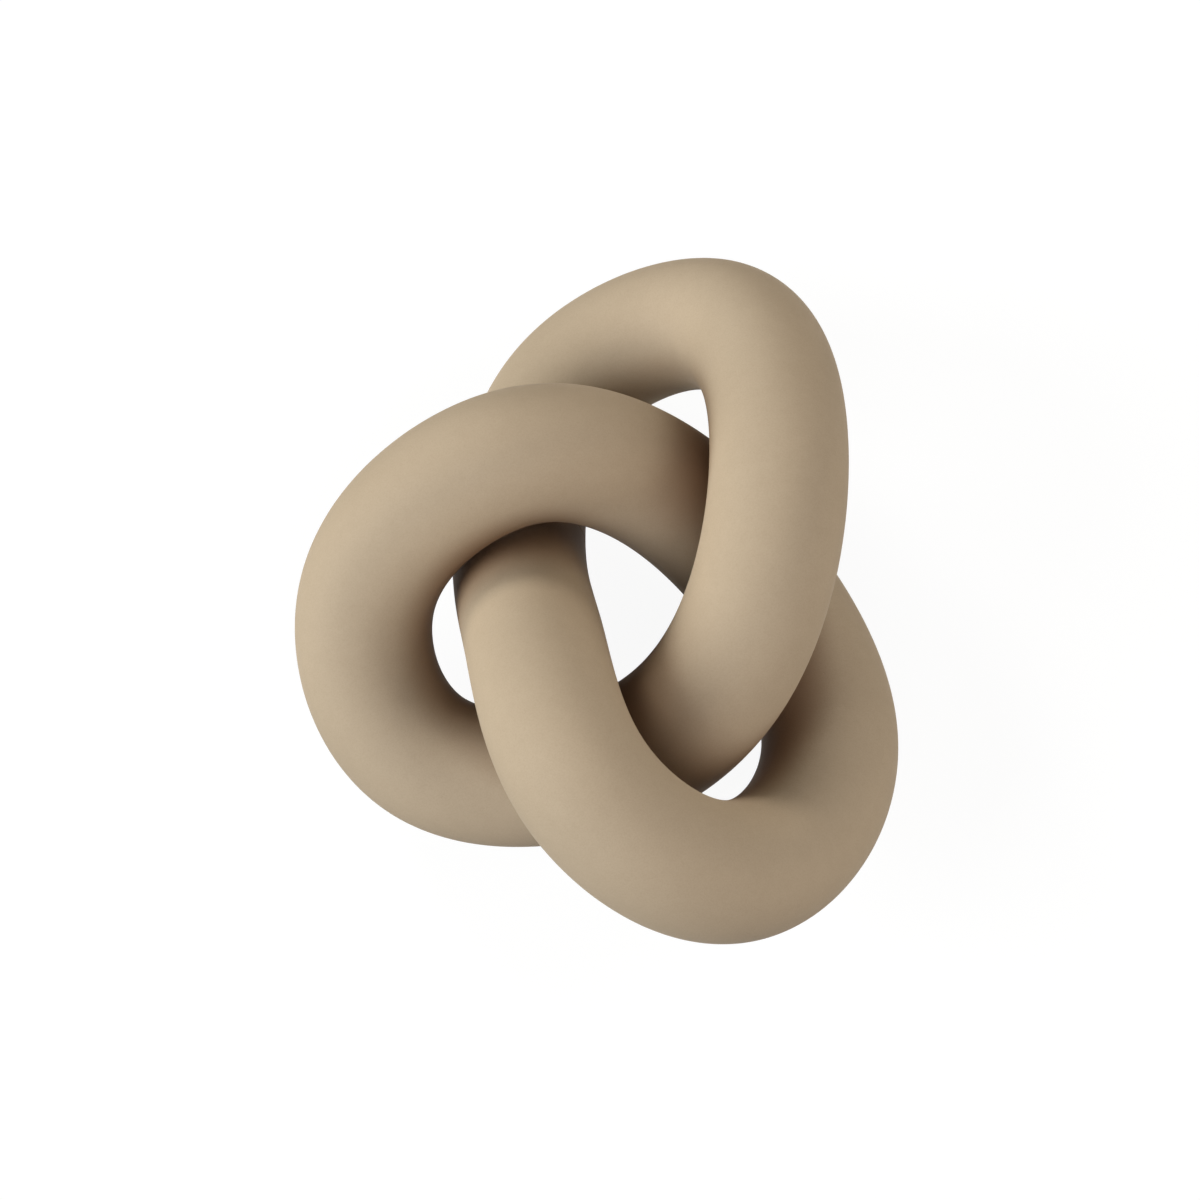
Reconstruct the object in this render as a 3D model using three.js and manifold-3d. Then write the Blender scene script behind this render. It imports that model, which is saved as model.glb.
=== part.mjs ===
// Knot ornament: a hollow clay tube cast in three lobes, joined with slip into a closed
// three-lobed knot that lies flat on three felt pads. Millimetres, +Z up, resting on z = 0.

import * as THREE from "three";
import { mergeVertices } from "three/addons/utils/BufferGeometryUtils.js";
import Module from "manifold-3d";

// Driving dimensions
const TUBE_DIAMETER = 32; // outside of the cast tube
const WALL = 4.5; // thickness of the cast clay
const PASS_GAP = 0.5; // least air between two runs of the tube that pass each other
const SEAM_WIDTH = 1.6; // slip between two tube ends, measured along the tube
const SEAM_INSET = 0.15; // slip wiped back below the outside of the tube
const FIT_GAP = 0.3; // clearance between pieces that touch
const PAD_DIAMETER = 11; // felt pad
const PAD_THICKNESS = 2;
const FOOT_MARGIN = 0.6; // ground flat left showing round a pad
const VENT_DIAMETER = 5; // hole that lets air out of the hollow while firing
const VENT_FROM_FOOT = 30; // along the underside, from the middle of the pad to the vent

// How finely the round shapes are cut
const TUBE_SIDES = 24;
const LOBE_STEPS = 30;
const SEAM_STEPS = 2;
const PAD_SIDES = 24;
const VENT_SIDES = 16;
const ROUTE_SAMPLES = 900;

// A tight knot takes its shape from its own thickness, so its route is set out in half
// spacings: half the distance between the middles of two runs that pass each other.
const HALF_SPACING = (TUBE_DIAMETER + PASS_GAP) / 2;

// Height of the middle of the route at each station of a lobe, in half spacings.
const HEIGHTS = { foot: 0.85, tip: 2.1, crest: 4.0, over: 3.2, under: 1.0 };

// Plan of the route, in half spacings from the middle of the knot, with +X to the right and
// +Y to the back. Each lobe rests on its foot, swings out to its tip, climbs to its crest,
// passes over the lobe before it and dives under the lobe after it.
const LOBES = [
  {
    name: "upper",
    foot: [-1.3, 4.35],
    tip: [2.05, 5.2],
    crest: [2.45, 1.5],
    over: [1.85, -1.45],
    under: [0.15, -2.3],
  },
  {
    name: "left",
    foot: [-3.15, -2.45],
    tip: [-4.1, 0.3],
    crest: [-1.95, 1.45],
    over: [-0.15, 1.95],
    under: [1.8, 1.55],
  },
  {
    name: "right",
    foot: [3.7, -1.75],
    tip: [1.8, -4.8],
    crest: [-0.75, -3.7],
    over: [-1.15, -0.9],
    under: [-1.55, 0.9],
  },
];
const STATION_NAMES = Object.keys(HEIGHTS);
const STATIONS_PER_LOBE = STATION_NAMES.length;
const UNDER = STATION_NAMES.indexOf("under");

const tubeRadius = TUBE_DIAMETER / 2;
const boreRadius = tubeRadius - WALL;

// The feet are ground flat just wide enough to carry the pads.
const footHalfWidth = PAD_DIAMETER / 2 + FOOT_MARGIN;
const footHeight = PAD_THICKNESS + FIT_GAP;
const lowestMiddle = footHeight + Math.sqrt(tubeRadius ** 2 - footHalfWidth ** 2);

// Stations of the whole route, in millimetres, before the knot is set down
const stations = LOBES.flatMap((lobe) =>
  STATION_NAMES.map((station) => {
    const [x, y] = lobe[station];
    return new THREE.Vector3(x, y, HEIGHTS[station]).multiplyScalar(HALF_SPACING);
  }),
);

// A stretch of the route: a closed cubic B-spline that the stations steer, from one place
// to another. A place counts stations, so 2.5 is halfway between the third and the fourth.
class RouteStretch extends THREE.Curve {
  constructor(from, to) {
    super();
    this.from = from;
    this.to = to;
  }

  getPoint(share, target = new THREE.Vector3()) {
    const place = THREE.MathUtils.lerp(this.from, this.to, share);
    const before = Math.floor(place);
    const u = place - before;
    const pulls = [
      (1 - u) ** 3 / 6,
      (3 * u ** 3 - 6 * u ** 2 + 4) / 6,
      (-3 * u ** 3 + 3 * u ** 2 + 3 * u + 1) / 6,
      u ** 3 / 6,
    ];
    target.set(0, 0, 0);
    pulls.forEach((pull, i) => {
      const station = THREE.MathUtils.euclideanModulo(before - 1 + i, stations.length);
      target.addScaledVector(stations[station], pull);
    });
    return target;
  }
}

// Set the knot down: its middle over the origin and its lowest runs at the height of the feet.
const wholeRoute = new RouteStretch(0, stations.length);
const reach = new THREE.Box3().setFromPoints(wholeRoute.getPoints(ROUTE_SAMPLES));
const setDown = reach.getCenter(new THREE.Vector3()).negate();
setDown.z = lowestMiddle - reach.min.z;
stations.forEach((station) => station.add(setDown));

// The place that lies a short length of tube further on
function placeAfter(place, length) {
  const nearby = 0.01;
  const chord = new RouteStretch(place - nearby, place + nearby);
  return place + (length * 2 * nearby) / chord.getLength();
}

function routePoint(place) {
  return new RouteStretch(place, place + 1).getPoint(0);
}

// The place where a lobe's run is lowest, between the seam before it and its tip
function footPlace(lobe) {
  const seam = lobe * STATIONS_PER_LOBE - 1;
  const places = Array.from({ length: ROUTE_SAMPLES }, (_, i) => seam + (2 * i) / ROUTE_SAMPLES);
  return places.reduce((low, place) =>
    routePoint(place).z < routePoint(low).z ? place : low,
  );
}

// A pipe of the given outer and inner radius along a stretch of the route
function pipe(stretch, outer, inner, steps) {
  const section = new THREE.Shape().absarc(0, 0, outer, 0, 2 * Math.PI, false);
  section.holes.push(new THREE.Path().absarc(0, 0, inner, 0, 2 * Math.PI, true));
  return new THREE.ExtrudeGeometry(section, {
    steps,
    curveSegments: TUBE_SIDES / 2, // three.js cuts an arc into twice as many
    extrudePath: stretch,
  });
}

const wasm = await Module();
wasm.setup();

function toSolid(geometry) {
  const bare = geometry.clone();
  bare.deleteAttribute("normal");
  bare.deleteAttribute("uv");
  const merged = mergeVertices(bare, 1e-4);
  const mesh = new wasm.Mesh({
    numProp: 3,
    vertProperties: merged.attributes.position.array,
    triVerts: new Uint32Array(merged.index.array),
  });
  return new wasm.Manifold(mesh);
}

function toGeometry(solid) {
  const mesh = solid.getMesh();
  const geometry = new THREE.BufferGeometry();
  geometry.setAttribute("position", new THREE.BufferAttribute(mesh.vertProperties, 3));
  geometry.setIndex(new THREE.BufferAttribute(mesh.triVerts, 1));
  geometry.computeVertexNormals();
  return geometry;
}

// A block as wide as the knot that takes away everything below the ground flats
function grindingBlock() {
  const size = reach.getSize(new THREE.Vector3()).addScalar(2 * TUBE_DIAMETER);
  const block = new THREE.BoxGeometry(size.x, size.y, TUBE_DIAMETER);
  return toSolid(block.translate(0, 0, footHeight - TUBE_DIAMETER / 2));
}

// An upright drill that opens the hollow from below, at a place on the route
function ventDrill(place) {
  const radius = VENT_DIAMETER / 2;
  const drill = new THREE.CylinderGeometry(radius, radius, TUBE_DIAMETER, VENT_SIDES);
  const { x, y, z } = routePoint(place);
  return toSolid(drill.rotateX(Math.PI / 2).translate(x, y, z - TUBE_DIAMETER / 2));
}

const clay = () =>
  new THREE.MeshStandardMaterial({ color: 0xbfb099, roughness: 0.75, metalness: 0 });
const slip = () =>
  new THREE.MeshStandardMaterial({ color: 0xb3a48d, roughness: 0.85, metalness: 0 });
const felt = () =>
  new THREE.MeshStandardMaterial({ color: 0x4a443d, roughness: 1, metalness: 0 });

function piece(name, geometry, material) {
  const mesh = new THREE.Mesh(geometry, material);
  mesh.name = name;
  return mesh;
}

// Each lobe's tube runs from the seam under one crossing to the seam under the next.
function lobeTube(lobe) {
  const nextSeam = lobe * STATIONS_PER_LOBE + UNDER;
  const endGap = SEAM_WIDTH / 2 + FIT_GAP;
  const from = placeAfter(nextSeam - STATIONS_PER_LOBE, endGap);
  const to = placeAfter(nextSeam, -endGap);
  const cast = toSolid(pipe(new RouteStretch(from, to), tubeRadius, boreRadius, LOBE_STEPS));
  return cast.subtract(grindingBlock());
}

// The slip at the seam that ends a lobe
function seamRing(lobe) {
  const seam = lobe * STATIONS_PER_LOBE + UNDER;
  const from = placeAfter(seam, -SEAM_WIDTH / 2);
  const to = placeAfter(seam, SEAM_WIDTH / 2);
  return pipe(new RouteStretch(from, to), tubeRadius - SEAM_INSET, boreRadius, SEAM_STEPS);
}

function pad(lobe) {
  const radius = PAD_DIAMETER / 2;
  const disc = new THREE.CylinderGeometry(radius, radius, PAD_THICKNESS, PAD_SIDES);
  const mesh = piece(`pad_${LOBES[lobe].name}`, disc.rotateX(Math.PI / 2), felt());
  const foot = routePoint(footPlace(lobe));
  mesh.position.set(foot.x, foot.y, PAD_THICKNESS / 2);
  return mesh;
}

// The vent opens the underside of the right lobe, between its pad and its tip.
const VENTED_LOBE = LOBES.findIndex((lobe) => lobe.name === "right");
const ventPlace = placeAfter(footPlace(VENTED_LOBE), VENT_FROM_FOOT);

const ornament = new THREE.Group();
LOBES.forEach(({ name }, lobe) => {
  let tube = lobeTube(lobe);
  if (lobe === VENTED_LOBE) tube = tube.subtract(ventDrill(ventPlace));
  ornament.add(piece(`${name}_lobe_tube`, toGeometry(tube), clay()));
  ornament.add(piece(`seam_after_${name}_lobe`, seamRing(lobe), slip()));
  ornament.add(pad(lobe));
});

export default ornament;
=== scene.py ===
import math

import bpy
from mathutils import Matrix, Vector
from mathutils.kdtree import KDTree


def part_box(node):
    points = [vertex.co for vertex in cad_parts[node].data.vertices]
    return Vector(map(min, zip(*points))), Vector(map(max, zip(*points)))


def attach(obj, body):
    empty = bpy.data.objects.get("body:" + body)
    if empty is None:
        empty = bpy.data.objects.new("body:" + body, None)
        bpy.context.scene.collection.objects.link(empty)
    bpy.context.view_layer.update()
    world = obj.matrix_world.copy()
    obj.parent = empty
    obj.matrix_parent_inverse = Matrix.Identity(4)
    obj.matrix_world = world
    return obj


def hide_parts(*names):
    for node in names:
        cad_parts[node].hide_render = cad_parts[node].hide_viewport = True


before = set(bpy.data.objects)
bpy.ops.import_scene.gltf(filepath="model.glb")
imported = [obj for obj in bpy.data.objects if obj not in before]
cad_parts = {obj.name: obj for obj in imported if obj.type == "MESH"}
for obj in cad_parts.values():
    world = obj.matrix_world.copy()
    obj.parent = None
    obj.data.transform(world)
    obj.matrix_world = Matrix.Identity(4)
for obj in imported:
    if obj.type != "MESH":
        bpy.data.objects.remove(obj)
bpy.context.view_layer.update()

# The cast lobes
# Three lengths of hollow stoneware tube, slip-cast and set together into one closed knot.
# The outside is sponged smooth and coated with sand-coloured slip, fired matte. Each lobe is
# ground flat where it rests, and the right lobe has a vent hole in its underside.

TUBE_DIAMETER = 0.032
WALL = 0.0045
PASS_GAP = 0.0005
GROUND_HEIGHT = 0.0023
GROUND_HALF_WIDTH = 0.0061
VENT_DIAMETER = 0.005
VENT_FROM_FOOT = 0.030
SEAM_WIDTH = 0.0016
HALF_SPACING = (TUBE_DIAMETER + PASS_GAP) / 2

# The route: heights and plan of its stations, in half spacings of two passing runs
HEIGHTS = {"foot": 0.85, "tip": 2.1, "crest": 4.0, "over": 3.2, "under": 1.0}
LOBES = {
    "upper": {
        "foot": (-1.3, 4.35),
        "tip": (2.05, 5.2),
        "crest": (2.45, 1.5),
        "over": (1.85, -1.45),
        "under": (0.15, -2.3),
    },
    "left": {
        "foot": (-3.15, -2.45),
        "tip": (-4.1, 0.3),
        "crest": (-1.95, 1.45),
        "over": (-0.15, 1.95),
        "under": (1.8, 1.55),
    },
    "right": {
        "foot": (3.7, -1.75),
        "tip": (1.8, -4.8),
        "crest": (-0.75, -3.7),
        "over": (-1.15, -0.9),
        "under": (-1.55, 0.9),
    },
}
STATION_NAMES = list(HEIGHTS)
STATIONS_PER_LOBE = len(STATION_NAMES)
UNDER = STATION_NAMES.index("under")
ROUTE_SAMPLES = 900
NEARBY = 0.01  # in stations

stations = [
    Vector((*lobe[name], HEIGHTS[name])) * HALF_SPACING
    for lobe in LOBES.values()
    for name in STATION_NAMES
]


def route_point(place):
    """Middle of the tube at a place, where a place counts stations round the closed knot."""
    before = math.floor(place)
    u = place - before
    pulls = (
        (1 - u) ** 3 / 6,
        (3 * u**3 - 6 * u**2 + 4) / 6,
        (-3 * u**3 + 3 * u**2 + 3 * u + 1) / 6,
        u**3 / 6,
    )
    near = (stations[(before - 1 + i) % len(stations)] for i in range(4))
    return sum((station * pull for station, pull in zip(near, pulls)), Vector())


def route_run(start, end, steps):
    """Points along the middle of the tube from one place to another."""
    return [route_point(start + (end - start) * i / steps) for i in range(steps + 1)]


def chord_at(place):
    """A short chord of the route, from just before a place to just after it."""
    return route_point(place + NEARBY) - route_point(place - NEARBY)


def place_after(place, length):
    """The place a short length of tube further on."""
    return place + 2 * NEARBY * length / chord_at(place).length


# Set down: the middle of the knot over the origin, its lowest runs cut by the ground flats
whole_route = route_run(0, len(stations), ROUTE_SAMPLES)
lowest = Vector(min(point[axis] for point in whole_route) for axis in range(3))
highest = Vector(max(point[axis] for point in whole_route) for axis in range(3))
lowest_middle = GROUND_HEIGHT + math.sqrt((TUBE_DIAMETER / 2) ** 2 - GROUND_HALF_WIDTH**2)
set_down = -(lowest + highest) / 2
set_down.z = lowest_middle - lowest.z
for station in stations:
    station += set_down


def foot_place(lobe):
    """Where a lobe's run is lowest, between the seam before it and its tip."""
    seam = lobe * STATIONS_PER_LOBE - 1
    places = (seam + 2 * i / ROUTE_SAMPLES for i in range(ROUTE_SAMPLES))
    return min(places, key=lambda place: route_point(place).z)


class Wire:
    """An output of a node, which can be added to, multiplied and so on as a number can."""

    def __init__(self, bench, socket):
        self.bench = bench
        self.socket = socket

    def maths(self, operation, *values):
        return self.bench.node("ShaderNodeMath", {"operation": operation}, dict(enumerate(values)))

    def __add__(self, other):
        return self.maths("ADD", self, other)

    def __radd__(self, other):
        return self.maths("ADD", other, self)

    def __sub__(self, other):
        return self.maths("SUBTRACT", self, other)

    def __rsub__(self, other):
        return self.maths("SUBTRACT", other, self)

    def __mul__(self, other):
        return self.maths("MULTIPLY", self, other)

    def __rmul__(self, other):
        return self.maths("MULTIPLY", other, self)

    def __truediv__(self, other):
        return self.maths("DIVIDE", self, other)

    def __lt__(self, other):
        return self.maths("LESS_THAN", self, other)

    def __gt__(self, other):
        return self.maths("GREATER_THAN", self, other)


class Bench:
    """A node tree and the one way its nodes are added."""

    def __init__(self, tree):
        self.tree = tree

    def node(self, kind, settings=None, sockets=None, out=0):
        """Adds a node, sets it up, fills its sockets and gives an output, or a list of them."""
        made = self.tree.nodes.new(kind)
        for name, value in (settings or {}).items():
            setattr(made, name, value)
        for key, value in (sockets or {}).items():
            self.fill(made, key, value)
        if isinstance(out, tuple):
            return [Wire(self, made.outputs[name]) for name in out]
        return Wire(self, made.outputs[out])

    def fill(self, node, key, value):
        """Puts a value, a wire or a list of wires into a socket."""
        if isinstance(key, int):
            socket = node.inputs[key]
        else:
            socket = next(s for s in node.inputs if s.enabled and key in (s.identifier, s.name))
        if not isinstance(value, (Wire, list)):
            socket.default_value = value
            return
        for wire in value if isinstance(value, list) else [value]:
            self.tree.links.new(wire.socket, socket)


def geometry_tree(name, inputs):
    """A Geometry Nodes tree: its bench, and its inputs as wires by name."""
    tree = bpy.data.node_groups.new(name, "GeometryNodeTree")
    tree.interface.new_socket("Geometry", in_out="INPUT", socket_type="NodeSocketGeometry")
    tree.interface.new_socket("Geometry", in_out="OUTPUT", socket_type="NodeSocketGeometry")
    for label, kind in inputs.items():
        tree.interface.new_socket(label, in_out="INPUT", socket_type=f"NodeSocket{kind}")
    bench = Bench(tree)
    entry = tree.nodes.new("NodeGroupInput")
    return bench, {socket.name: Wire(bench, socket) for socket in entry.outputs if socket.name}


def end_tree(bench, geometry, finish):
    """Ends a tree in Realize Instances and Set Material."""
    real = bench.node("GeometryNodeRealizeInstances", {}, {"Geometry": geometry})
    dressed = bench.node("GeometryNodeSetMaterial", {}, {"Geometry": real, "Material": finish})
    bench.fill(bench.tree.nodes.new("NodeGroupOutput"), 0, dressed)
    return bench.tree


def grown(name, tree, path, values):
    """Runs a tree on a path of points and gives its result as a plain mesh object."""
    line = bpy.data.curves.new(f"{name}_path", "CURVE")
    line.dimensions = "3D"
    spline = line.splines.new("POLY")
    spline.points.add(len(path) - 1)
    for point, at in zip(spline.points, path):
        point.co = (*at, 1)
    carrier = bpy.data.objects.new(f"{name}_path", line)
    bpy.context.scene.collection.objects.link(carrier)
    modifier = carrier.modifiers.new("grow", "NODES")
    modifier.node_group = tree
    for item in tree.interface.items_tree:
        if item.in_out == "INPUT" and item.name in values:
            modifier[item.identifier] = values[item.name]
    evaluated = carrier.evaluated_get(bpy.context.evaluated_depsgraph_get())
    mesh = bpy.data.meshes.new_from_object(evaluated)
    mesh.name = name
    bpy.data.objects.remove(carrier)
    piece = bpy.data.objects.new(name, mesh)
    bpy.context.scene.collection.objects.link(piece)
    return piece


def mark_painted_shade_mask(piece, reach):
    """Stores how deep the skin lies between two runs of the tube, near 1 where they meet, as the
    mask for the painted shade there.
    """
    middles = route_run(0, len(stations), ROUTE_SAMPLES)
    route = KDTree(len(middles))
    for i, middle in enumerate(middles):
        route.insert(middle, i)
    route.balance()
    clear = TUBE_DIAMETER / 2 + reach
    shelter = [
        max(0, 1 - route.find(vertex.co + vertex.normal * reach)[2] / clear)
        for vertex in piece.data.vertices
    ]
    piece.data.attributes.new("sheltered", "FLOAT", "POINT").data.foreach_set("value", shelter)


def cloud(bench, place, waves, detail, roughness=0.5):
    """Soft noise from 0 to 1, about so many waves to the metre."""
    return bench.node(
        "ShaderNodeTexNoise",
        {},
        {"Vector": place, "Scale": waves, "Detail": detail, "Roughness": roughness},
    )


def cast_tube_tree():
    """A pipe along a path, open at both ends, ground flat below and drilled for a vent.

    The path is longer than the pipe by the overhang at each end, so that the bore goes through.
    """
    bench, given = geometry_tree(
        "cast_tube",
        {
            "Tube Radius": "Float",
            "Bore Radius": "Float",
            "Overhang": "Float",
            "Sides": "Int",
            "Bore Sides": "Int",
            "Unevenness": "Float",
            "Hollow": "Float",
            "Ground Height": "Float",
            "Vent Mouth": "Vector",
            "Vent Inwards": "Vector",
            "Vent Radius": "Float",
            "Vent Softening": "Float",
            "Finish": "Material",
        },
    )
    node = bench.node
    path = given["Geometry"]
    length = node("GeometryNodeCurveLength", {}, {"Curve": path})
    skin_path = node(
        "GeometryNodeTrimCurve",
        {"mode": "LENGTH"},
        {"Curve": path, "Start_001": given["Overhang"], "End_001": length - given["Overhang"]},
    )
    distance = node("GeometryNodeSplineParameter", {}, {}, "Length")
    skin_path = node(
        "GeometryNodeStoreNamedAttribute",
        {"data_type": "FLOAT", "domain": "POINT"},
        {"Geometry": skin_path, "Name": "along", "Value": distance},
    )
    position = node("GeometryNodeInputPosition")
    ring = node(
        "GeometryNodeStoreNamedAttribute",
        {"data_type": "FLOAT_VECTOR", "domain": "POINT"},
        {
            "Geometry": node(
                "GeometryNodeCurvePrimitiveCircle",
                {"mode": "RADIUS"},
                {"Resolution": given["Sides"], "Radius": given["Tube Radius"]},
            ),
            "Name": "across",
            "Value": position,
        },
    )
    bore_ring = node(
        "GeometryNodeCurvePrimitiveCircle",
        {"mode": "RADIUS"},
        {"Resolution": given["Bore Sides"], "Radius": given["Bore Radius"]},
    )

    def swept(curve, profile, scale):
        return node(
            "GeometryNodeCurveToMesh",
            {},
            {"Curve": curve, "Profile Curve": profile, "Scale": scale, "Fill Caps": True},
        )

    # Where the skin is scraped hollow, it is deepest halfway along and flush at the ends.
    share = node("GeometryNodeSplineParameter")
    waist = 1 - share * (1 - share) * 4 * given["Hollow"] / given["Tube Radius"]

    # The sponged skin wavers by a few hundredths of a millimetre.
    waver = cloud(bench, position, waves=70, detail=2)
    lift = node(
        "ShaderNodeVectorMath",
        {"operation": "SCALE"},
        {0: node("GeometryNodeInputNormal"), "Scale": 2 * (waver - 0.5) * given["Unevenness"]},
    )
    skin = node(
        "GeometryNodeSetPosition", {}, {"Geometry": swept(skin_path, ring, waist), "Offset": lift}
    )
    skin = node(
        "GeometryNodeStoreNamedAttribute",
        {"data_type": "FLOAT", "domain": "FACE"},
        {"Geometry": skin, "Name": "coated", "Value": 1.0},
    )

    block_size = 0.3
    block = node(
        "GeometryNodeTransform",
        {},
        {
            "Geometry": node("GeometryNodeMeshCube", {}, {"Size": (block_size,) * 3}),
            "Translation": node(
                "ShaderNodeCombineXYZ", {}, {"Z": given["Ground Height"] - block_size / 2}
            ),
        },
    )

    drill_sides = 64
    drill_depth = 0.03
    drill = node(
        "GeometryNodeMeshCylinder",
        {},
        {"Vertices": drill_sides, "Radius": given["Vent Radius"], "Depth": drill_depth},
    )
    drill = node(
        "GeometryNodeTransform", {}, {"Geometry": drill, "Translation": given["Vent Mouth"]}
    )

    # The mouth of the vent is softened with a cone at 45 degrees, square to the skin. Where it
    # crosses the skin, it is wider than the vent by the softening all round.
    soft = given["Vent Softening"]
    softener = node(
        "GeometryNodeMeshCone",
        {},
        {
            "Vertices": drill_sides,
            "Side Segments": 3,
            "Radius Top": given["Vent Radius"] - soft,
            "Radius Bottom": given["Vent Radius"] + soft * 3,
            "Depth": soft * 4,
        },
    )
    softener = node(
        "GeometryNodeTransform",
        {},
        {
            "Geometry": softener,
            "Translation": node(
                "ShaderNodeVectorMath",
                {"operation": "MULTIPLY_ADD"},
                {
                    0: given["Vent Inwards"],
                    1: node("ShaderNodeCombineXYZ", {}, dict.fromkeys("XYZ", soft * -2)),
                    2: given["Vent Mouth"],
                },
            ),
            "Rotation": node(
                "FunctionNodeAlignRotationToVector",
                {"axis": "Z"},
                {"Vector": given["Vent Inwards"]},
            ),
        },
    )
    pipe = node(
        "GeometryNodeMeshBoolean",
        {"operation": "DIFFERENCE", "solver": "MANIFOLD"},
        {
            "Mesh 1": skin,
            "Mesh 2": [swept(path, bore_ring, 1.0), block, drill, softener],
        },
    )
    smooth = node("GeometryNodeSetShadeSmooth", {"domain": "FACE"}, {"Geometry": pipe})
    crisp = node("GeometryNodeInputMeshEdgeAngle") > CRISP_ANGLE
    smooth = node(
        "GeometryNodeSetShadeSmooth",
        {"domain": "EDGE"},
        {"Geometry": smooth, "Selection": crisp, "Shade Smooth": False},
    )
    return end_tree(bench, smooth, given["Finish"])


def paint(red, green, blue):
    """A colour as it looks, 0 to 255 a channel, in the form that a shader takes."""
    shares = [value / 255 for value in (red, green, blue)]
    return (*[s / 12.92 if s <= 0.04045 else ((s + 0.055) / 1.055) ** 2.4 for s in shares], 1)


def new_finish(name):
    """An empty material: its bench, its shader, and its Object coordinates."""
    material = bpy.data.materials.new(name)
    material.use_nodes = True
    bench = Bench(material.node_tree)
    shader = material.node_tree.nodes["Principled BSDF"]
    return material, bench, shader, bench.node("ShaderNodeTexCoord", {}, {}, "Object")


def attribute(bench, name, out="Fac"):
    """A value that the shape carries with it."""
    return bench.node("ShaderNodeAttribute", {"attribute_name": name}, {}, out)


def blend(bench, share, first, second):
    """From the first colour to the second as the share goes from 0 to 1."""
    return bench.node(
        "ShaderNodeMix",
        {"data_type": "RGBA", "clamp_factor": True},
        {"Factor_Float": share, "A_Color": first, "B_Color": second},
        2,
    )


def ramp(bench, value, low, high):
    """0 below low, 1 above high, and smooth between."""
    return bench.node(
        "ShaderNodeMapRange",
        {"interpolation_type": "SMOOTHSTEP"},
        {"Value": value, "From Min": low, "From Max": high},
    )


def specks(bench, place, per_metre, radius, share):
    """Small round specks: 1 inside one and 0 outside. This share of the cells holds one."""
    cells = {"Vector": place, "Scale": per_metre, "Randomness": 1.0}
    near = bench.node("ShaderNodeTexVoronoi", {"feature": "F1"}, cells, "Distance")
    chance = bench.node("ShaderNodeTexVoronoi", {"feature": "F1"}, cells, "Color")
    chosen = bench.node("ShaderNodeSeparateColor", {}, {0: chance}) < share
    return (1 - ramp(bench, near, radius * per_metre * 0.5, radius * per_metre)) * chosen


def coated_ceramic(name, light, dark, grain):
    """Fired clay under a thin coat of matte coloured slip, bare where it is ground or bored."""
    material, bench, shader, place = new_finish(name)
    height = bench.node("ShaderNodeSeparateXYZ", {}, {0: place}, "Z")

    # The coat: mottled, with a darker grain and a few iron specks
    broad = cloud(bench, place, waves=45, detail=4)
    small = cloud(bench, place, waves=320, detail=3)
    fine = cloud(bench, place, waves=2600, detail=2, roughness=0.7)
    iron = specks(bench, place, per_metre=130, radius=0.00021, share=0.05)
    mottle = 0.65 * broad + 0.35 * small
    tone = blend(bench, ramp(bench, mottle, 0.3, 0.7), dark, light)
    tone = blend(bench, ramp(bench, fine, 0.35, 0.75) * GRAIN_MARK, tone, GRAIN_COLOUR)
    tone = blend(bench, iron * IRON_MARK, tone, IRON_COLOUR)

    # Painted shade: where two runs of the tube meet, the coat is painted darker and warmer, in
    # place of the shade that falls between them.
    sheltered = ramp(bench, attribute(bench, "sheltered"), 0.1, 0.8)
    tone = blend(bench, sheltered * PAINTED_SHADE_STRENGTH, tone, PAINTED_SHADE_COLOUR)

    # The bare clay: clouded, with darker grog
    rubbed = height + (cloud(bench, place, waves=900, detail=3) - 0.5) * RUB_RAGGEDNESS
    whole = ramp(bench, rubbed, GROUND_HEIGHT + RUB_START, GROUND_HEIGHT + RUB_END)
    bare = 1 - whole * attribute(bench, "coated")
    grog = specks(bench, place, per_metre=1100, radius=0.00022, share=0.3)
    clay = blend(bench, cloud(bench, place, waves=700, detail=3), BARE_CLAY, CLOUDED_CLAY)
    clay = blend(bench, grog * GROG_MARK, clay, GROG_COLOUR)
    bench.fill(shader, "Base Color", blend(bench, bare, tone, clay))

    # Strokes of the sponge run along the tube, so they are noise that is drawn out that way.
    stroke_place = bench.node(
        "ShaderNodeVectorMath",
        {"operation": "ADD"},
        {
            0: attribute(bench, "across", "Vector"),
            1: bench.node(
                "ShaderNodeCombineXYZ", {}, {"Z": attribute(bench, "along") * STROKE_SQUEEZE}
            ),
        },
    )
    strokes = cloud(bench, stroke_place, waves=900, detail=3, roughness=0.6)
    roughness = COAT_ROUGHNESS + (strokes - 0.5) * 0.14 + (fine - 0.5) * 0.16
    bench.fill(shader, "Roughness", roughness)
    shader.inputs["Specular IOR Level"].default_value = COAT_SPECULAR

    # Relief, in parts of RELIEF_DEPTH: grain, hollows left by the sponge, pinholes, grit
    pits = specks(bench, place, per_metre=210, radius=0.00016, share=0.035)
    hollows = cloud(bench, place, waves=380, detail=3)
    grit = cloud(bench, place, waves=1500, detail=4)
    relief = fine * grain + hollows * 0.9 + strokes * 0.35 - pits * 2.5 + bare * grit * 1.6
    bump = bench.node("ShaderNodeBump", {}, {"Height": relief, "Distance": RELIEF_DEPTH})
    bench.fill(shader, "Normal", bump)
    return material


# Colours of the clay, and how strongly each mark shows
SAND_COAT = paint(186, 167, 144), paint(182, 163, 140)
GRAIN_COLOUR = paint(150, 131, 106)
GRAIN_MARK = 0.16
IRON_COLOUR = paint(112, 90, 68)
IRON_MARK = 0.45
# Painted shade between the runs of the tube: its colour, and how strongly it is painted in
PAINTED_SHADE_COLOUR = paint(118, 85, 58)
PAINTED_SHADE_STRENGTH = 0.75
BARE_CLAY = paint(206, 192, 170)
CLOUDED_CLAY = paint(196, 182, 160)
GROG_COLOUR = paint(150, 132, 110)
GROG_MARK = 0.3
COAT_ROUGHNESS = 0.66
COAT_SPECULAR = 0.15

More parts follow.
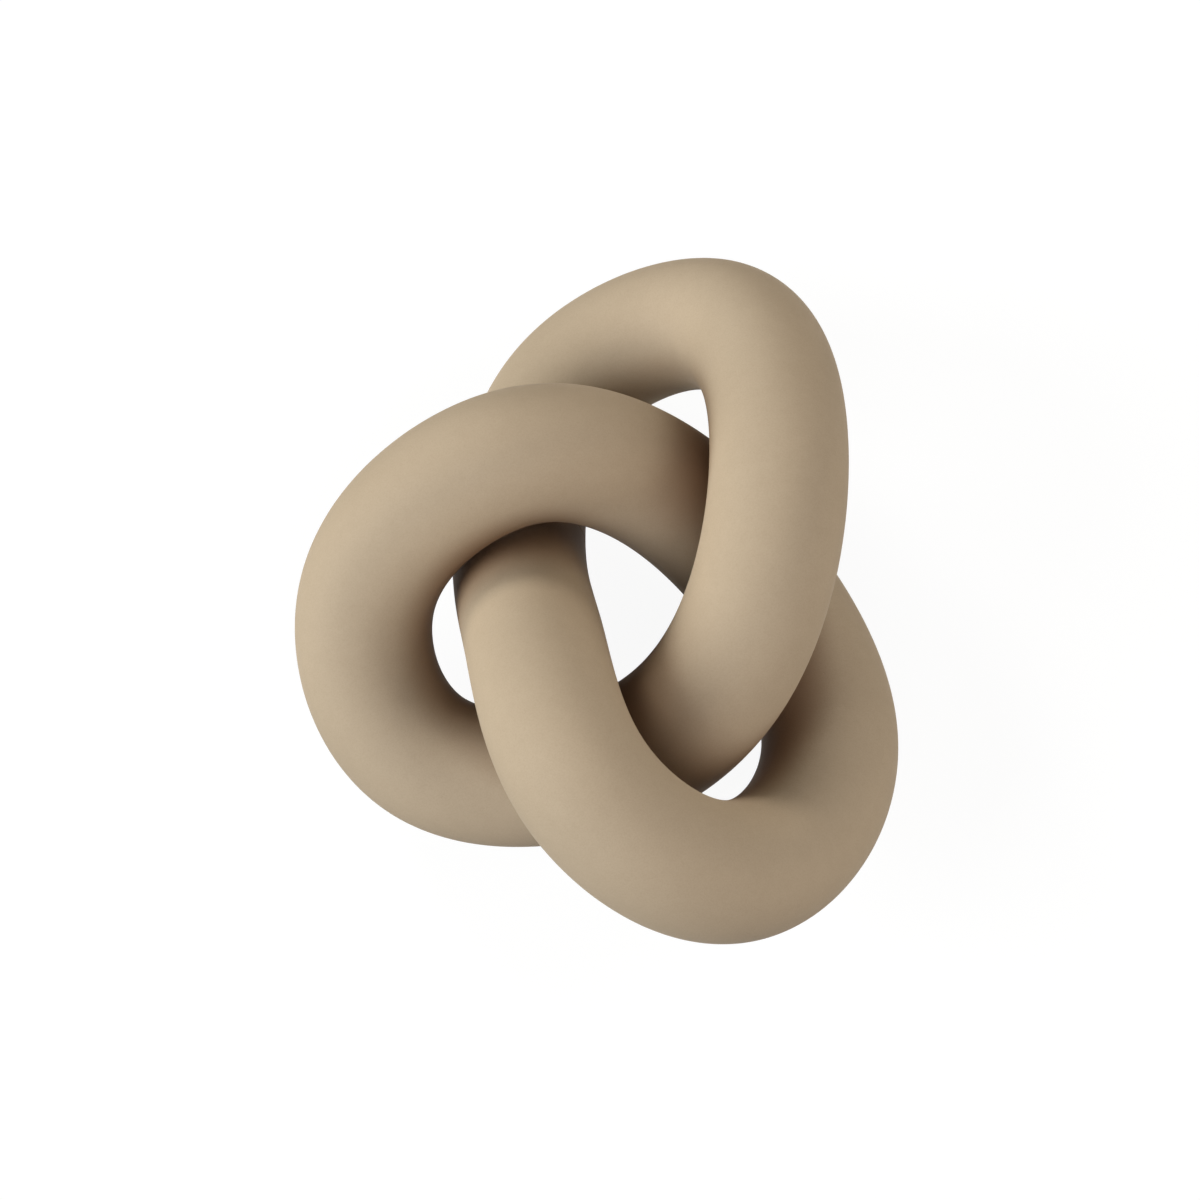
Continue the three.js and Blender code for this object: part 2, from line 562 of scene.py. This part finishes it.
# The coat is rubbed through from RUB_START to RUB_END above a ground flat, raggedly.
RUB_START = 0.0001
RUB_END = 0.0005
RUB_RAGGEDNESS = 0.0006
STROKE_SQUEEZE = 0.08  # of lengths along the tube, against lengths across it
RELIEF_DEPTH = 0.000025
SHELTER_REACH = 0.014  # how far out from the skin the next run is looked for
SKIN_UNEVENNESS = 0.00003
VENT_SOFTENING = 0.0006

# How finely the tube is cut
RINGS_PER_LOBE = 300
TUBE_SIDES = 120
BORE_SIDES = 48
CRISP_ANGLE = math.radians(12)  # edges between faces that turn by more stay crisp
OVERHANG = 0.003
NOWHERE = Vector((0, 0, -1))  # for the vent of a length that has none

sand_ceramic = coated_ceramic("sand_ceramic", *SAND_COAT, grain=1.0)
cast_tube = cast_tube_tree()
vent_place = place_after(foot_place(list(LOBES).index("right")), VENT_FROM_FOOT)
vent_along = chord_at(vent_place).normalized()
vent_drop = TUBE_DIAMETER / 2 / math.sqrt(1 - vent_along.z**2)
vent_mouth = route_point(vent_place) - Vector((0, 0, vent_drop))
vent_inwards = (Vector((0, 0, 1)) - vent_along * vent_along.z).normalized()


def tube_length(name, path, changes):
    """A length of tube along a path, with these changes from the usual inputs of its tree."""
    usual = {
        "Tube Radius": TUBE_DIAMETER / 2,
        "Bore Radius": TUBE_DIAMETER / 2 - WALL,
        "Overhang": OVERHANG,
        "Sides": TUBE_SIDES,
        "Bore Sides": BORE_SIDES,
        "Unevenness": SKIN_UNEVENNESS,
        "Hollow": 0.0,
        "Ground Height": GROUND_HEIGHT,
        "Vent Mouth": NOWHERE,
        "Vent Inwards": vent_inwards,
        "Vent Radius": VENT_DIAMETER / 2,
        "Vent Softening": VENT_SOFTENING,
        "Finish": sand_ceramic,
    }
    tube = grown(name, cast_tube, path, {**usual, **changes})
    mark_painted_shade_mask(tube, SHELTER_REACH)
    return tube


for lobe, name in enumerate(LOBES):
    seam = lobe * STATIONS_PER_LOBE + UNDER
    start = place_after(seam - STATIONS_PER_LOBE, SEAM_WIDTH / 2 - OVERHANG)
    end = place_after(seam, OVERHANG - SEAM_WIDTH / 2)
    vent = {"Vent Mouth": vent_mouth} if name == "right" else {}
    tube = tube_length(f"{name}_lobe", route_run(start, end, RINGS_PER_LOBE), vent)
    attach(tube, "root")
    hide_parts(f"{name}_lobe_tube")

# The slip seams
# Rings of thick slip that join the tube ends under the three crossings. The slip is scraped
# slightly hollow between the two skins, sponged by hand and fired with the rest.

SEAM_INSET = 0.00012  # depth of the hollow halfway along
SEAM_STEP = 0.00003  # slip left below the skin at its two edges
SEAM_UNEVENNESS = 0.00004
SEAM_RINGS = 40
JOINT_LINE = 0.00002  # hairline between the slip and each tube end
SLIP_COAT = paint(181, 162, 136), paint(174, 155, 130)

joining_slip = coated_ceramic("joining_slip", *SLIP_COAT, grain=1.3)

for lobe, name in enumerate(LOBES):
    seam = lobe * STATIONS_PER_LOBE + UNDER
    half = SEAM_WIDTH / 2 - JOINT_LINE + OVERHANG
    ring = tube_length(
        f"slip_after_{name}_lobe",
        route_run(place_after(seam, -half), place_after(seam, half), SEAM_RINGS),
        {
            "Tube Radius": TUBE_DIAMETER / 2 - SEAM_STEP,
            "Unevenness": SEAM_UNEVENNESS,
            "Hollow": SEAM_INSET,
            "Ground Height": 0.0,
            "Finish": joining_slip,
        },
    )
    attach(ring, "root")
    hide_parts(f"seam_after_{name}_lobe")

# The felt pads
# Three discs punched from dark wool felt, stuck to the ground flats with a film of glue so
# that the fired clay doesn't scratch what it lies on. Loose fibres stand out round the edge.

PAD_DIAMETER = 0.011
FELT_THICKNESS = 0.002
GLUE_TOP = GROUND_HEIGHT - 0.00002  # just short of the ground flat


def felt_pad_tree():
    """A felt disc with a soft cut edge and stray fibres, and the glue film above it."""
    bench, given = geometry_tree(
        "felt_pad",
        {
            "Centre": "Vector",
            "Radius": "Float",
            "Thickness": "Float",
            "Glue Top": "Float",
            "Edge Softness": "Float",
            "Edge Raggedness": "Float",
            "Fibre Length": "Float",
            "Fibre Radius": "Float",
            "Fibre Density": "Float",
            "Seed": "Int",
            "Finish": "Material",
        },
    )
    node = bench.node
    position = node("GeometryNodeInputPosition")
    x, y, z = node("ShaderNodeSeparateXYZ", {}, {0: position}, ("X", "Y", "Z"))
    thickness = given["Thickness"]
    disc = node(
        "GeometryNodeMeshCylinder",
        {"fill_type": "TRIANGLE_FAN"},
        {
            "Vertices": 128,
            "Side Segments": 10,
            "Fill Segments": 8,
            "Radius": given["Radius"],
            "Depth": thickness,
        },
    )

    # The cut edge is drawn in towards both faces of the felt, and a little ragged.
    from_middle = z / (thickness / 2)
    from_middle = from_middle * from_middle
    ragged = cloud(bench, position, waves=900, detail=3)
    shrink = (
        1
        - given["Edge Softness"] * from_middle * from_middle
        - (ragged - 0.5) * given["Edge Raggedness"]
    )
    drawn_in = node(
        "ShaderNodeVectorMath",
        {"operation": "MULTIPLY"},
        {0: position, 1: node("ShaderNodeCombineXYZ", {}, {"X": shrink, "Y": shrink, "Z": 1.0})},
    )
    disc = node("GeometryNodeSetPosition", {}, {"Geometry": disc, "Position": drawn_in})

    # One bent fibre, which is then scattered over the cut edge
    length = given["Fibre Length"]
    bend_height, tip_reach = 0.6, 0.7  # in fibre lengths
    hair = node(
        "GeometryNodeCurveQuadraticBezier",
        {},
        {
            "Resolution": 4,
            "Start": (0, 0, 0),
            "Middle": node("ShaderNodeCombineXYZ", {}, {"Z": length * bend_height}),
            "End": node("ShaderNodeCombineXYZ", {}, {"X": length * tip_reach, "Z": length}),
        },
    )
    section = node(
        "GeometryNodeCurvePrimitiveCircle",
        {"mode": "RADIUS"},
        {"Resolution": 3, "Radius": given["Fibre Radius"]},
    )
    fibre = node(
        "GeometryNodeCurveToMesh",
        {},
        {"Curve": hair, "Profile Curve": section, "Fill Caps": True},
    )
    upright = node("ShaderNodeSeparateXYZ", {}, {0: node("GeometryNodeInputNormal")}, "Z")
    steep = 0.3  # square of the most that a normal on the edge points up or down
    on_edge = upright * upright < steep
    points, outwards = node(
        "GeometryNodeDistributePointsOnFaces",
        {},
        {
            "Mesh": disc,
            "Selection": on_edge,
            "Density": given["Fibre Density"],
            "Seed": given["Seed"],
        },
        ("Points", "Rotation"),
    )
    lean = 0.7  # the most that a fibre leans over, in radians
    turn = node(
        "FunctionNodeRandomValue",
        {"data_type": "FLOAT_VECTOR"},
        {"Min": (-lean, -lean, -math.pi), "Max": (lean, lean, math.pi), "Seed": given["Seed"]},
    )
    facing = node(
        "FunctionNodeRotateRotation",
        {"rotation_space": "LOCAL"},
        {"Rotation": outwards, "Rotate By": turn},
    )
    shortest, longest = 0.4, 1.3  # in fibre lengths
    size = node(
        "FunctionNodeRandomValue",
        {"data_type": "FLOAT"},
        {"Min_001": shortest, "Max_001": longest, "Seed": given["Seed"]},
        1,
    )
    fibres = node(
        "GeometryNodeInstanceOnPoints",
        {},
        {"Points": points, "Instance": fibre, "Rotation": facing, "Scale": size},
    )
    felt = node("GeometryNodeJoinGeometry", {}, {"Geometry": [disc, fibres]})
    felt = node("GeometryNodeRealizeInstances", {}, {"Geometry": felt})

    # The pad stands on the ground, and fibres that stick out above or below are pressed flat.
    lifted = node("ShaderNodeCombineXYZ", {}, {"Z": thickness / 2})
    felt = node("GeometryNodeTransform", {}, {"Geometry": felt, "Translation": lifted})
    held = node("ShaderNodeClamp", {}, {"Value": z, "Min": 0.0, "Max": thickness})
    pressed = node("ShaderNodeCombineXYZ", {}, {"X": x, "Y": y, "Z": held})
    felt = node("GeometryNodeSetPosition", {}, {"Geometry": felt, "Position": pressed})

    # The glue sinks slightly into the felt and stops short of its edge.
    glue_bottom, glue_width = 0.98, 0.95  # of the felt's thickness and radius
    film = given["Glue Top"] - thickness * glue_bottom
    glue = node(
        "GeometryNodeMeshCylinder",
        {"fill_type": "TRIANGLE_FAN"},
        {"Vertices": 64, "Radius": given["Radius"] * glue_width, "Depth": film},
    )
    glue = node(
        "GeometryNodeTransform",
        {},
        {
            "Geometry": glue,
            "Translation": node("ShaderNodeCombineXYZ", {}, {"Z": given["Glue Top"] - film / 2}),
        },
    )
    pad = node("GeometryNodeJoinGeometry", {}, {"Geometry": [felt, glue]})
    pad = node("GeometryNodeTransform", {}, {"Geometry": pad, "Translation": given["Centre"]})
    return end_tree(bench, pad, given["Finish"])


def wool_felt():
    """Matted dark wool with paler strands across it, and the pale glue film above it."""
    material, bench, shader, place = new_finish("wool_felt")
    height = bench.node("ShaderNodeSeparateXYZ", {}, {0: place}, "Z")
    matted = cloud(bench, place, waves=2600, detail=6, roughness=0.75)

    # Strands are noise that is drawn out along one way, for each of three ways.
    def strands_along(turn):
        drawn_out = bench.node(
            "ShaderNodeMapping", {}, {"Vector": place, "Rotation": turn, "Scale": (1, 7, 3)}
        )
        return bench.node(
            "ShaderNodeTexNoise",
            {},
            {"Vector": drawn_out, "Scale": 1500.0, "Detail": 3.0, "Distortion": 1.2},
        )

    first, second, third = (strands_along(turn) for turn in STRAND_TURNS)
    strands = first.maths("MAXIMUM", first, second)
    strands = ramp(bench, strands.maths("MAXIMUM", strands, third), 0.52, 0.72)
    wool = blend(bench, ramp(bench, matted, 0.3, 0.7), DARK_WOOL, LIGHT_WOOL)
    wool = blend(bench, strands * STRAND_MARK, wool, STRAND_COLOUR)
    glued = ramp(bench, height, FELT_THICKNESS, FELT_THICKNESS + 0.00002)
    bench.fill(shader, "Base Color", blend(bench, glued, wool, GLUE_COLOUR))
    bench.fill(shader, "Roughness", 1 - glued * 0.5)
    shader.inputs["Specular IOR Level"].default_value = 0.2
    shader.inputs["Sheen Weight"].default_value = 0.35
    shader.inputs["Sheen Roughness"].default_value = 0.6
    relief = (matted + strands * 0.6) * (1 - glued)
    bump = bench.node("ShaderNodeBump", {}, {"Height": relief, "Distance": NAP_DEPTH})
    bench.fill(shader, "Normal", bump)
    return material


DARK_WOOL = paint(56, 51, 46)
LIGHT_WOOL = paint(82, 75, 68)
STRAND_COLOUR = paint(108, 100, 91)
STRAND_MARK = 0.4
STRAND_TURNS = (0.3, 0.2, 0.5), (0.7, 1.1, 1.6), (1.3, 0.5, 2.7)
GLUE_COLOUR = paint(196, 188, 168)
NAP_DEPTH = 0.00012

felt_finish = wool_felt()
felt_pad = felt_pad_tree()

for seed, name in enumerate(LOBES):
    low, high = (Vector(corner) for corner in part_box(f"pad_{name}"))
    centre = (low + high) / 2
    centre.z = 0
    pad = grown(
        f"felt_pad_{name}",
        felt_pad,
        [Vector(), Vector((0, 0, FELT_THICKNESS))],
        {
            "Centre": centre,
            "Radius": PAD_DIAMETER / 2,
            "Thickness": FELT_THICKNESS,
            "Glue Top": GLUE_TOP,
            "Edge Softness": 0.04,
            "Edge Raggedness": 0.03,
            "Fibre Length": 0.0005,
            "Fibre Radius": 0.000012,
            "Fibre Density": 7e6,
            "Seed": seed,
            "Finish": felt_finish,
        },
    )
    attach(pad, "root")
    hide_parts(f"pad_{name}")

# The photographer's camera
# A long lens on a stand in front of the table, high above it, tipped down at the knot by 66
# degrees.

ELEVATION = math.radians(66.07)
AIM = Vector((0.00066, -0.00415, 0.03709))
DISTANCE = 0.7069
FOCAL_LENGTH = 91.12
SENSOR_WIDTH = 36

lens = bpy.data.cameras.new("camera")
lens.lens = FOCAL_LENGTH
lens.sensor_width = SENSOR_WIDTH
camera = bpy.data.objects.new("camera", lens)
camera.location = AIM + DISTANCE * Vector((0, -math.cos(ELEVATION), math.sin(ELEVATION)))
camera.rotation_euler = (math.pi / 2 - ELEVATION, 0, 0)
bpy.context.scene.collection.objects.link(camera)
bpy.context.scene.camera = camera

# The table
# A wide sheet of card. It looks white where nothing shades it, keeps the knot's shadow, and
# throws little light back up into the knot.

CARD_SIZE = 8
CARD_DROP = 0.00005  # below the pads, so that it doesn't share a plane with them
CARD_GLOW = 0.93
CARD_GREY = 0.1

card_mesh = bpy.data.meshes.new("card")
half = CARD_SIZE / 2
plan = (-half, -half), (half, -half), (half, half), (-half, half)
corners = [(x, y, -CARD_DROP) for x, y in plan]
card_mesh.from_pydata(corners, [], [(0, 1, 2, 3)])
card = bpy.data.objects.new("card", card_mesh)
bpy.context.scene.collection.objects.link(card)


def looked_at(bench):
    """1 for rays that show the card or the world to the camera or in gloss, else 0."""
    camera, glossy, transmission = (
        bench.node("ShaderNodeLightPath", {}, {}, f"Is {kind} Ray")
        for kind in ("Camera", "Glossy", "Transmission")
    )
    return camera.maths("MAXIMUM", camera, glossy.maths("MAXIMUM", glossy, transmission))


white_card = bpy.data.materials.new("white_card")
white_card.use_nodes = True
bench = Bench(white_card.node_tree)
shader = white_card.node_tree.nodes["Principled BSDF"]
shader.inputs["Base Color"].default_value = (CARD_GREY, CARD_GREY, CARD_GREY, 1)
shader.inputs["Emission Color"].default_value = (1, 1, 1, 1)
bench.fill(shader, "Emission Strength", looked_at(bench) * CARD_GLOW)
shader.inputs["Roughness"].default_value = 1.0
shader.inputs["Specular IOR Level"].default_value = 0.0
card_mesh.materials.append(white_card)

# The studio light
# A big soft light low on the left, a smaller one behind it, a very broad one low on the right
# and a weak one at the front. White walls all round are too far off to light the knot.


def soft_light(name, bearing, elevation, strength, softness, tint):
    """A far soft light. Its bearing is in degrees from the front, round by the right."""
    lamp = bpy.data.lights.new(name, "SUN")
    lamp.energy = strength * math.pi
    lamp.color = tint
    lamp.angle = math.radians(softness)
    light = bpy.data.objects.new(name, lamp)
    bearing = math.radians(bearing)
    elevation = math.radians(elevation)
    towards = Vector(
        (
            math.cos(elevation) * math.sin(bearing),
            -math.cos(elevation) * math.cos(bearing),
            math.sin(elevation),
        )
    )
    light.rotation_euler = towards.to_track_quat("Z", "Y").to_euler()
    bpy.context.scene.collection.objects.link(light)


COOL = (0.95, 1.0, 0.99)
PLAIN = (1.0, 0.97, 0.96)
WARM = (1.0, 0.96, 0.86)

soft_light("key", 288, 24, 0.90, 40, COOL)
soft_light("hair", 216, 24, 0.40, 15, WARM)
soft_light("rim", 90, 15, 0.69, 80, WARM)
soft_light("fill", 0, 42, 0.30, 40, PLAIN)

walls = bpy.data.worlds.new("walls")
bpy.context.scene.world = walls
walls.use_nodes = True
bench = Bench(walls.node_tree)
background = walls.node_tree.nodes["Background"]
background.inputs["Color"].default_value = (1, 1, 1, 1)
bench.fill(background, "Strength", looked_at(bench))

bpy.context.scene.view_settings.view_transform = "Standard"
